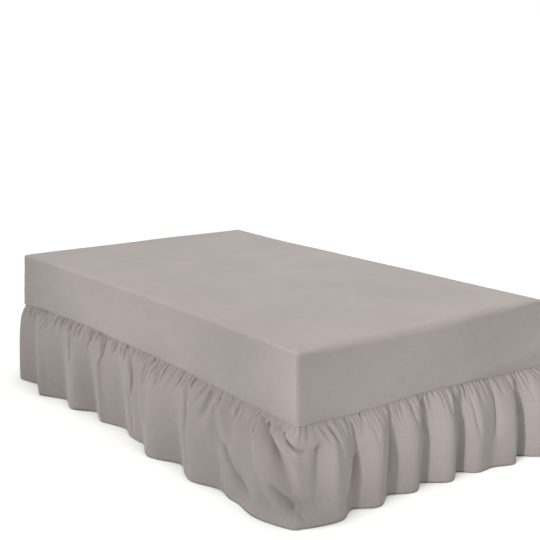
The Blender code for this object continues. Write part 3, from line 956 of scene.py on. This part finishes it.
def frill_points(along, level):
    """Points of the frill's outer face for places and levels, from 0 at the seam to 1 at the hem."""
    flat_points, _ = ring_points(along, -from_table(LOWER_EDGE, along, 2))
    seam = from_table(LOWER_EDGE, along, 1)
    hem = HEM_HEIGHT
    for height, seed, pitch in HEM_WAVES:
        hem = hem + height * wander(along, seed, pitch)
    hanging = np.clip(level, 0.0, 1.0)[:, None]
    growth = from_table(HANG, along, 1)[None, :] + FLARE_CHANGE * wander(along, 37, 0.33)[None, :]
    opened = 1.0 - (1.0 - hanging) ** from_table(HANG, along, 2)[None, :]
    belly = from_table(HANG, along, 3)[None, :] * (ease(level / 0.5) * ease((1.0 - level) / 0.5))[:, None]
    puff = PUFF * ease(level / PUFF_END)[:, None]
    grown = 1.0 - (1.0 - hanging) ** growth
    ends_at = along[None, :] - from_table(LEAN, along, 1)[None, :] * (1.0 - grown)
    flare = np.interp(ends_at, HEM_PLACES, HEM_BROAD)
    folds = np.interp(ends_at, HEM_PLACES, HEM_REACH) - flare
    main = puff + (flare - PUFF) * grown + folds * opened + belly
    relief = frill_relief(along, level)
    tucked = SEAM_DRAW * (1.0 - ease(level / 0.012))[:, None]
    reach = main + relief - tucked
    slope = np.gradient(main, along, axis=1)
    sideways = -FOLD_OVERHANG * slope * ease(level / 0.25)[:, None]
    sideways -= PINCH_OVERHANG * np.clip(np.gradient(relief, along, axis=1), -1.0, 1.0)
    angle = turn_at(along)
    x = flat_points[:, 0] + np.cos(angle) * reach - np.sin(angle) * sideways
    y = flat_points[:, 1] + np.sin(angle) * reach + np.cos(angle) * sideways + BED_Y
    z = seam[None, :] + (hem - seam)[None, :] * level[:, None]
    return np.stack([x, y, z], axis=-1)


frill_levels = [-SEAM_TUCK, -0.004, -0.0015]
for start, end, step in ROWS:
    count = int(round((end - start) / step))
    frill_levels += [start + (end - start) * i / count for i in range(count)]
frill_levels = np.array(frill_levels + [USUAL_DROP]) / USUAL_DROP
FULLNESS = 1.25  # length of strip that is gathered on to each length of edge
hem_row = int(np.argmin(np.abs(frill_levels - HEM_LINE / USUAL_DROP)))
sewing = []  # lines that are sewn: points on the cloth, and the way the cloth faces there

for name, start, end in STRIPS:
    along = np.linspace(start, end, int(round((end - start) / COLUMN_STEP)) + 1)
    margin = np.arange(1, MARGIN + 1) * COLUMN_STEP
    wide = np.concatenate([start - margin[::-1], along, end + margin])
    points = frill_points(wide, frill_levels)[:, MARGIN:-MARGIN]
    uv = np.stack(np.meshgrid(along * FULLNESS, frill_levels * USUAL_DROP), axis=-1)
    faces = grid_faces(len(frill_levels), len(along))[:, ::-1]
    mesh = mesh_from(name, points.reshape(-1, 3), faces, uv.reshape(-1, 2))
    # The strips take the darker copy of the percale, which carries painted shade.
    strip = sheet_piece(name, mesh, FRILL_THICK, percale_painted_shade)
    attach(strip, "root")
    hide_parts("frill")
    hem_way = np.cross(points[hem_row + 1] - points[hem_row - 1], np.gradient(points[hem_row], axis=0))
    sewing.append((points[hem_row], hem_way))

# ---------------------------------------------------------------------------------------------------
# Sewing: rows of lockstitch in a thread dyed to the cloth, about three stitches to the centimetre. They
# hold up the frill's hem, run round the cover just over the frill's seam, and down its upright corners.
STITCH_PITCH = 0.0036
STITCH_SIZE = (0.0005, 0.0008, 0.0028)  # height, width, length
STITCH_SKEW = 0.10  # a stitch lies up to this angle off its row
CORNER_STITCHES_AT = 0.006  # past the corner
STITCH_SEED = 3
seam_line = 0.45 * rings[0] + 0.55 * rings[1]  # 5 mm over the cover's lower edge
sewn_along = np.append(places, ROUND)
seam_points = np.vstack([seam_line, seam_line[:1]]) + TO_BED
seam_way = ring_points(sewn_along, 0.0)[1]
sewing.append((seam_points, np.column_stack([seam_way, np.zeros(len(seam_way))])))
for _, _, corner in CORNERS:
    column = int(np.argmin(np.abs(places - corner - CORNER_STITCHES_AT)))
    down_seam = np.array([rings[row][column] for row in range(1, COVER_ROWS)]) + TO_BED
    facing = ring_points(places[column : column + 1], 0.0)[1][0]
    sewing.append((down_seam, np.tile((*facing, 0.0), (len(down_seam), 1))))


def thread_material(name, colour):
    """Spun thread: matt, with a fine twist."""
    material, tree, shader = new_material(name, Roughness=0.6)
    place = add_node(tree, "ShaderNodeTexCoord").outputs["Object"]
    twist = add_node(tree, "ShaderNodeTexNoise", Vector=place, Scale=1800.0).outputs["Fac"]
    coloured = shades(tree, twist, 0.0, 1.0, tinted(colour, 0.8), tinted(colour, 1.15))
    tree.links.new(coloured, shader.inputs["Base Color"])
    return material


def stitch_tree(thread):
    """Node tree that lays a stitch at each pitch along the sewn lines, flat on the cloth."""
    tree = bpy.data.node_groups.new("stitch_rows", "GeometryNodeTree")
    for name, way, kind in (
        ("Geometry", "INPUT", "Geometry"),
        ("Pitch", "INPUT", "Float"),
        ("Size", "INPUT", "Vector"),
        ("Skew", "INPUT", "Float"),
        ("Seed", "INPUT", "Int"),
        ("Geometry", "OUTPUT", "Geometry"),
    ):
        tree.interface.new_socket(name, in_out=way, socket_type="NodeSocket" + kind)
    given = add_node(tree, "NodeGroupInput").outputs
    lines = add_node(tree, "GeometryNodeMeshToCurve", Mesh=given["Geometry"]).outputs["Curve"]
    by_length = {"mode": "LENGTH"}
    spots = add_node(tree, "GeometryNodeResampleCurve", by_length, Curve=lines, Length=given["Pitch"])
    vectors = {"data_type": "FLOAT_VECTOR"}
    facing = add_node(tree, "GeometryNodeInputNamedAttribute", vectors, Name="face_way")
    run = add_node(tree, "GeometryNodeInputTangent").outputs["Tangent"]
    along_run = add_node(tree, "FunctionNodeAlignRotationToVector", {"axis": "Z"}, Vector=run)
    laid = add_node(
        tree,
        "FunctionNodeAlignRotationToVector",
        {"axis": "X", "pivot_axis": "Z"},
        Rotation=along_run.outputs["Rotation"],
        Vector=facing.outputs["Attribute"],
    )
    less = add_node(tree, "ShaderNodeMath", {"operation": "SUBTRACT"})
    less.inputs[0].default_value = 0.0
    tree.links.new(given["Skew"], less.inputs[1])
    chance = add_node(tree, "FunctionNodeRandomValue", {"data_type": "FLOAT"}, Seed=given["Seed"])
    tree.links.new(less.outputs["Value"], chance.inputs[2])
    tree.links.new(given["Skew"], chance.inputs[3])
    off_row = (1.0, 0.0, 0.0)
    skewed = add_node(tree, "FunctionNodeAxisAngleToRotation", Angle=chance.outputs[1], Axis=off_row)
    turned = add_node(
        tree,
        "FunctionNodeRotateRotation",
        {"rotation_space": "LOCAL"},
        Rotation=laid.outputs["Rotation"],
        Rotate_By=skewed.outputs["Rotation"],
    )
    bead = add_node(tree, "GeometryNodeMeshUVSphere", Segments=4, Rings=4, Radius=0.5).outputs["Mesh"]
    stitch = add_node(tree, "GeometryNodeTransform", Geometry=bead, Scale=given["Size"])
    row = add_node(
        tree,
        "GeometryNodeInstanceOnPoints",
        Points=spots.outputs["Curve"],
        Instance=stitch.outputs["Geometry"],
        Rotation=turned.outputs["Rotation"],
    )
    real = add_node(tree, "GeometryNodeRealizeInstances", Geometry=row.outputs["Instances"])
    dressed = add_node(tree, "GeometryNodeSetMaterial", Geometry=real.outputs["Geometry"])
    dressed.inputs["Material"].default_value = thread
    add_node(tree, "NodeGroupOutput", Geometry=dressed.outputs["Geometry"])
    return tree


line_points = []
line_edges = []
line_ways = []
for points, ways in sewing:
    first = sum(len(line) for line in line_points)
    line_edges += [(first + index, first + index + 1) for index in range(len(points) - 1)]
    line_points.append(points)
    line_ways.append(ways / np.linalg.norm(ways, axis=1)[:, None])
lines_mesh = bpy.data.meshes.new("sewn_lines")
lines_mesh.from_pydata(np.concatenate(line_points).tolist(), line_edges, [])
facing = lines_mesh.attributes.new("face_way", "FLOAT_VECTOR", "POINT")
facing.data.foreach_set("vector", np.concatenate(line_ways).astype(np.float32).ravel())
lines = add_object("sewn_lines", lines_mesh)
stitching = stitch_tree(thread_material("taupe_thread", PERCALE))
rows_of_stitches = lines.modifiers.new("stitches", "NODES")
rows_of_stitches.node_group = stitching
for name, value in (
    ("Pitch", STITCH_PITCH),
    ("Size", STITCH_SIZE),
    ("Skew", STITCH_SKEW),
    ("Seed", STITCH_SEED),
):
    rows_of_stitches[stitching.interface.items_tree[name].identifier] = value
stitch_mesh = baked(lines, "stitches")
stitch_mesh.shade_smooth()
stitches = add_object("stitches", stitch_mesh)
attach(stitches, "root")

# ---------------------------------------------------------------------------------------------------
# Mattress: a soft slab in plain white ticking, padded and lightly quilted on both faces. A rolled tape
# edge closes each face to the border. It lies loose on the base, and only its lower edge at the head
# shows under the cover.
MATTRESS_STEP = 0.030
MATTRESS_BOTTOM = 0.330
LOWER_FACE = MATTRESS_BOTTOM + 0.001
MATTRESS_SLACK = 0.0060  # behind the cover's outer face
TAPE_INSET = 0.0105
TAPE_RADIUS = 0.0038
PANEL_ROUND = 0.022
PANEL_START = 0.036  # the ring where each face's square grid begins
QUILT_PITCH = 0.18
QUILT_DEPTH = 0.0018
QUILT_FADE = 0.05  # the quilting fades out over this length towards the tape edge
BORDER_INSET = 0.0008  # the border lies this far behind the tape's root
BORDER_PULL = 0.0012  # how far it swells between its pulls
BORDER_PITCH = 0.16
BORDER_STEPS = 8


def quilted(x, y):
    """How far the stitching pulls a face of the mattress in."""
    first, second = (x + y) * math.pi / QUILT_PITCH, (x - y) * math.pi / QUILT_PITCH
    return QUILT_DEPTH * (1.0 - np.abs(np.sin(first)) ** 0.5 * np.abs(np.sin(second)) ** 0.5)


places = outline_places(MATTRESS_STEP)
stations = len(places)
edge_steps = [(PANEL_START, 0.0)]
for step in range(7):
    turn = math.pi / 2.0 * step / 6.0
    across, down = 1.0 - math.sin(turn), 1.0 - math.cos(turn)
    edge_steps.append((TAPE_INSET + PANEL_ROUND * across, PANEL_ROUND * down))
for step in range(1, 8):
    turn = math.pi * step / 8.0
    across, down = math.sin(turn), 1.0 - math.cos(turn)
    edge_steps.append((TAPE_INSET - TAPE_RADIUS * across, PANEL_ROUND + TAPE_RADIUS * down))
top_edge = HEIGHT + from_table(EDGE, places, 1) - MATTRESS_SLACK
panel_high = top_height(*ring_points(places, PANEL_START)[0].T) - MATTRESS_SLACK
low_rings = []
high_rings = []
for inset, depth in edge_steps:
    flat_points = ring_points(places, inset)[0]
    share = (inset - TAPE_INSET) / (PANEL_START - TAPE_INSET)
    high = top_edge + (panel_high - top_edge) * float(ease(share)) - depth
    low_rings.append(np.column_stack([flat_points, np.full(stations, LOWER_FACE + depth)]))
    high_rings.append(np.column_stack([flat_points, high]))
border_rings = []
for step in range(1, BORDER_STEPS):
    share = step / BORDER_STEPS
    swell = BORDER_PULL * np.abs(np.sin(places * math.pi / BORDER_PITCH)) ** 0.5 * math.sin(math.pi * share)
    flat_points = ring_points(places, TAPE_INSET + BORDER_INSET - swell)[0]
    height = low_rings[-1][:, 2] + (high_rings[-1][:, 2] - low_rings[-1][:, 2]) * share
    border_rings.append(np.column_stack([flat_points, height]))
all_rings = low_rings + border_rings + high_rings[::-1]
ring_run = [np.column_stack([places, np.full(stations, 0.03 * row)]) for row in range(len(all_rings))]
x, y = face_grid(MATTRESS_STEP, PANEL_START)
pulled = quilted(x, y) * inside_face(x, y, PANEL_START, QUILT_FADE)
under = grid_points(x, y, LOWER_FACE + pulled)
upper = grid_points(x, y, top_height(x, y) - MATTRESS_SLACK - pulled)
side_count = len(all_rings) * stations
mattress_faces = [
    grid_faces(len(all_rings), stations, closed=True),
    grid_faces(*x.shape, first=side_count)[:, ::-1],
    grid_faces(*x.shape, first=side_count + len(under)),
]
mattress_mesh = mesh_from(
    "mattress_body",
    np.concatenate([*all_rings, under, upper]) + TO_BED,
    np.concatenate(mattress_faces),
    np.concatenate([*ring_run, face_uv(x, y), face_uv(x, y)]),
)
join_grids(mattress_mesh)
mattress_mesh.materials.append(cloth_material("white_ticking", (0.74, 0.73, 0.70), 0.0004))
mattress = add_object("mattress_body", mattress_mesh)
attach(mattress, "root")
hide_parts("mattress")

# ---------------------------------------------------------------------------------------------------
# Bed base: a wooden box stapled over with grey cloth, drawn tight and softly rounded at its edges. A
# corded piping is sewn into the seams round its top and bottom and down its corners.
BASE_INSET = 0.024  # base's sides behind the cover's outer face
BASE_BOTTOM = 0.040
BASE_TOP = MATTRESS_BOTTOM - 0.0003
BASE_CORNER = 0.012
BASE_STEP = 0.040
BASE_ROUND = 0.006
PIPING_RADIUS = 0.0034
PIPING_SIDES = 10
PIPING_FROM_EDGE = 0.011
PIPING_OUT = 0.0012  # its middle stands off the base's sides


def base_outline(inset):
    """Rounded outline of the base, inset from its sides."""
    half = (WIDTH / 2.0 - BASE_INSET, LENGTH / 2.0 - BASE_INSET)
    outline = []
    for index, (side_x, side_y, _) in enumerate(CORNERS):
        centre = np.array([side_x * (half[0] - BASE_CORNER), side_y * (half[1] - BASE_CORNER)])
        for step in range(7):
            turn = math.pi * (1.0 + (index + step / 6.0) / 2.0)
            way = np.array([math.cos(turn), math.sin(turn)])
            outline.append(centre + (BASE_CORNER - inset) * way)
        length = 2.0 * (half[index % 2] - BASE_CORNER)
        count = int(round(length / BASE_STEP))
        last, ahead = outline[-1], np.array([-way[1], way[0]])
        outline += [last + ahead * length * step / count for step in range(1, count)]
    return np.array(outline)


def end_caps(points, around):
    """Faces that close the first and the last of a row of rounds."""
    return [list(range(around)), list(range(len(points) - around, len(points)))]


def cord(points, radius, closed):
    """Points, faces and caps of a round cord along points, closed on itself or rounded at both ends."""
    points = np.asarray(points, dtype=float)
    size = np.full(len(points), radius)
    if closed:
        ways = np.roll(points, -1, axis=0) - np.roll(points, 1, axis=0)
        across = np.tile((0.0, 0.0, 1.0), (len(points), 1))
    else:
        ways = np.gradient(points, axis=0)
        across = np.tile((1.0, 0.0, 0.0), (len(points), 1))
        size[0] = size[-1] = 0.6 * radius
    ways /= np.linalg.norm(ways, axis=1)[:, None]
    side = np.cross(ways, across)
    side /= np.linalg.norm(side, axis=1)[:, None]
    turns = np.arange(PIPING_SIDES) * 2.0 * math.pi / PIPING_SIDES
    rounds = side[:, None] * np.cos(turns)[None, :, None]
    rounds += np.cross(ways, side)[:, None] * np.sin(turns)[None, :, None]
    grid = (points[:, None] + rounds * size[:, None, None]).reshape(-1, 3)
    if closed:
        return grid, grid_faces(len(points) + 1, PIPING_SIDES, closed=True) % len(grid), []
    return grid, grid_faces(len(points), PIPING_SIDES, closed=True), end_caps(grid, PIPING_SIDES)


def outward(mesh):
    """Turns all faces of a closed mesh outwards, smooth but for its true edges."""
    shape = bmesh.new()
    shape.from_mesh(mesh)
    bmesh.ops.recalc_face_normals(shape, faces=shape.faces)
    shape.to_mesh(mesh)
    shape.free()
    mesh.shade_smooth()
    mesh.set_sharp_from_angle(angle=math.radians(50.0))


def woven_material(name, colour):
    """Coarse plain cloth for the base: thick and thin threads crossing."""
    material, tree, shader = new_material(name, Roughness=0.9, Specular_IOR_Level=0.2)
    place = add_node(tree, "ShaderNodeTexCoord").outputs["Object"]
    threads = []
    for scale in ((30.0, 30.0, 700.0), (700.0, 700.0, 30.0)):
        mapping = add_node(tree, "ShaderNodeMapping", Vector=place, Scale=scale).outputs["Vector"]
        texture = add_node(tree, "ShaderNodeTexNoise", Vector=mapping, Scale=1.0, Detail=2.0)
        threads.append(texture.outputs["Fac"])
    both = sum_of(tree, *threads)
    coloured = shades(tree, both, 0.7, 1.0, tinted(colour, 0.7), tinted(colour, 1.25))
    tree.links.new(coloured, shader.inputs["Base Color"])
    tree.links.new(bump(tree, both, 0.5, 0.0006), shader.inputs["Normal"])
    return material


corner_steps = [(BASE_ROUND + 0.008, 0.0)]
corner_steps += [
    (BASE_ROUND * (1.0 - math.sin(math.radians(turn))), BASE_ROUND * (1.0 - math.cos(math.radians(turn))))
    for turn in (0.0, 22.5, 45.0, 67.5, 90.0)
]
levels = [(inset, BASE_BOTTOM + rise) for inset, rise in corner_steps]
levels += [(0.0, BASE_BOTTOM + (BASE_TOP - BASE_BOTTOM) * step / 10.0) for step in range(1, 10)]
levels += [(inset, BASE_TOP - drop) for inset, drop in corner_steps[::-1]]
base_rings = []
for inset, height in levels:
    outline = base_outline(inset)
    run = np.concatenate([[0.0], np.cumsum(np.linalg.norm(np.diff(outline, axis=0), axis=1))])
    free = math.sin(math.pi * (height - BASE_BOTTOM) / (BASE_TOP - BASE_BOTTOM))
    slack = 0.0007 * free * wander(run + 0.6 * height, 41, 0.24) if inset == 0.0 else 0.0 * run
    middle = outline / np.linalg.norm(outline, axis=1)[:, None]
    base_rings.append(np.column_stack([outline - middle * slack[:, None], np.full(len(outline), height)]))
around = len(base_rings[0])
base_points = np.concatenate(base_rings) + TO_BED
base_faces = grid_faces(len(levels), around, closed=True)
base_mesh = mesh_from("base_box", base_points, base_faces, caps=end_caps(base_points, around))
outward(base_mesh)
base_cloth = woven_material("grey_base_cloth", (0.21, 0.20, 0.19))
base_mesh.materials.append(base_cloth)
base = add_object("base_box", base_mesh)
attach(base, "root")
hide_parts("bed_base")

outline = base_outline(-PIPING_OUT)
cords = []
for height in (BASE_BOTTOM + PIPING_FROM_EDGE, BASE_TOP - PIPING_FROM_EDGE):
    cords.append(cord(np.column_stack([outline, np.full(len(outline), height)]), PIPING_RADIUS, True))
for side_x, side_y, _ in CORNERS:
    spot = outline[np.argmax(outline @ np.array([side_x, side_y]))]
    rise = np.linspace(BASE_BOTTOM + PIPING_FROM_EDGE, BASE_TOP - PIPING_FROM_EDGE, 9)
    cords.append(cord([(spot[0], spot[1], height) for height in rise], 0.8 * PIPING_RADIUS, False))
piping_points = []
piping_faces = []
piping_ends = []
for points, faces, ends in cords:
    first = sum(len(part) for part in piping_points)
    piping_points.append(points + TO_BED)
    piping_faces.append(faces + first)
    piping_ends += [[corner + first for corner in end] for end in ends]
piping_mesh = mesh_from(
    "base_piping",
    np.concatenate(piping_points),
    np.concatenate(piping_faces),
    caps=piping_ends,
)
outward(piping_mesh)
piping_mesh.materials.append(base_cloth)
piping = add_object("base_piping", piping_mesh)
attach(piping, "root")

# ---------------------------------------------------------------------------------------------------
# Feet: four round glides moulded in black plastic, wider towards the top, with a flange that screws up
# to the base and a rounded foot that stands on the floor.
FOOT_PROFILE = (  # radius, height over the floor
    (0.0190, 0.0000),
    (0.0212, 0.0006),
    (0.0226, 0.0020),
    (0.0234, 0.0044),
    (0.0240, 0.0120),
    (0.0254, 0.0220),
    (0.0272, 0.0292),
    (0.0285, 0.0320),
    (0.0297, 0.0330),
    (0.0300, 0.0342),
    (0.0300, 0.0385),
    (0.0292, 0.0397),
)
FOOT_SIDES = 40
FOOT_INSET = 0.120  # feet's axes behind the base's sides


def moulded_material(name, colour):
    """Moulded plastic with a fine eroded grain."""
    material, tree, shader = new_material(name, Base_Color=(*colour, 1.0))
    place = add_node(tree, "ShaderNodeTexCoord").outputs["Object"]
    grain = add_node(tree, "ShaderNodeTexNoise", Vector=place, Scale=900.0, Detail=3.0).outputs["Fac"]
    rough = add_node(tree, "ShaderNodeMapRange", Value=grain, To_Min=0.38, To_Max=0.55)
    tree.links.new(rough.outputs["Result"], shader.inputs["Roughness"])
    tree.links.new(bump(tree, grain, 0.25, 0.0003), shader.inputs["Normal"])
    return material


black_plastic = moulded_material("black_plastic", (0.028, 0.028, 0.030))
foot_x = WIDTH / 2.0 - BASE_INSET - FOOT_INSET
foot_y = LENGTH / 2.0 - BASE_INSET - FOOT_INSET
turns = np.arange(FOOT_SIDES) * 2.0 * math.pi / FOOT_SIDES
for node, x, y in (
    ("foot_head_left", -foot_x, foot_y),
    ("foot_head_right", foot_x, foot_y),
    ("foot_foot_left", -foot_x, -foot_y),
    ("foot_foot_right", foot_x, -foot_y),
):
    rounds = []
    for radius, height in FOOT_PROFILE:
        flat_points = np.column_stack([x + radius * np.cos(turns), BED_Y + y + radius * np.sin(turns)])
        rounds.append(np.column_stack([flat_points, np.full(FOOT_SIDES, height)]))
    foot_points = np.concatenate(rounds)
    foot_faces = grid_faces(len(rounds), FOOT_SIDES, closed=True)
    ends = end_caps(foot_points, FOOT_SIDES)
    foot_mesh = mesh_from("glide_" + node, foot_points, foot_faces, caps=ends)
    outward(foot_mesh)
    foot_mesh.materials.append(black_plastic)
    foot = add_object("glide_" + node, foot_mesh)
    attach(foot, "root")
    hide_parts(node)

# ---------------------------------------------------------------------------------------------------
# Sizes of the solids and of the finished pieces, in metres.
size = {"cad": [list(v) for v in cad_box], "visual": [list(v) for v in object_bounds()]}
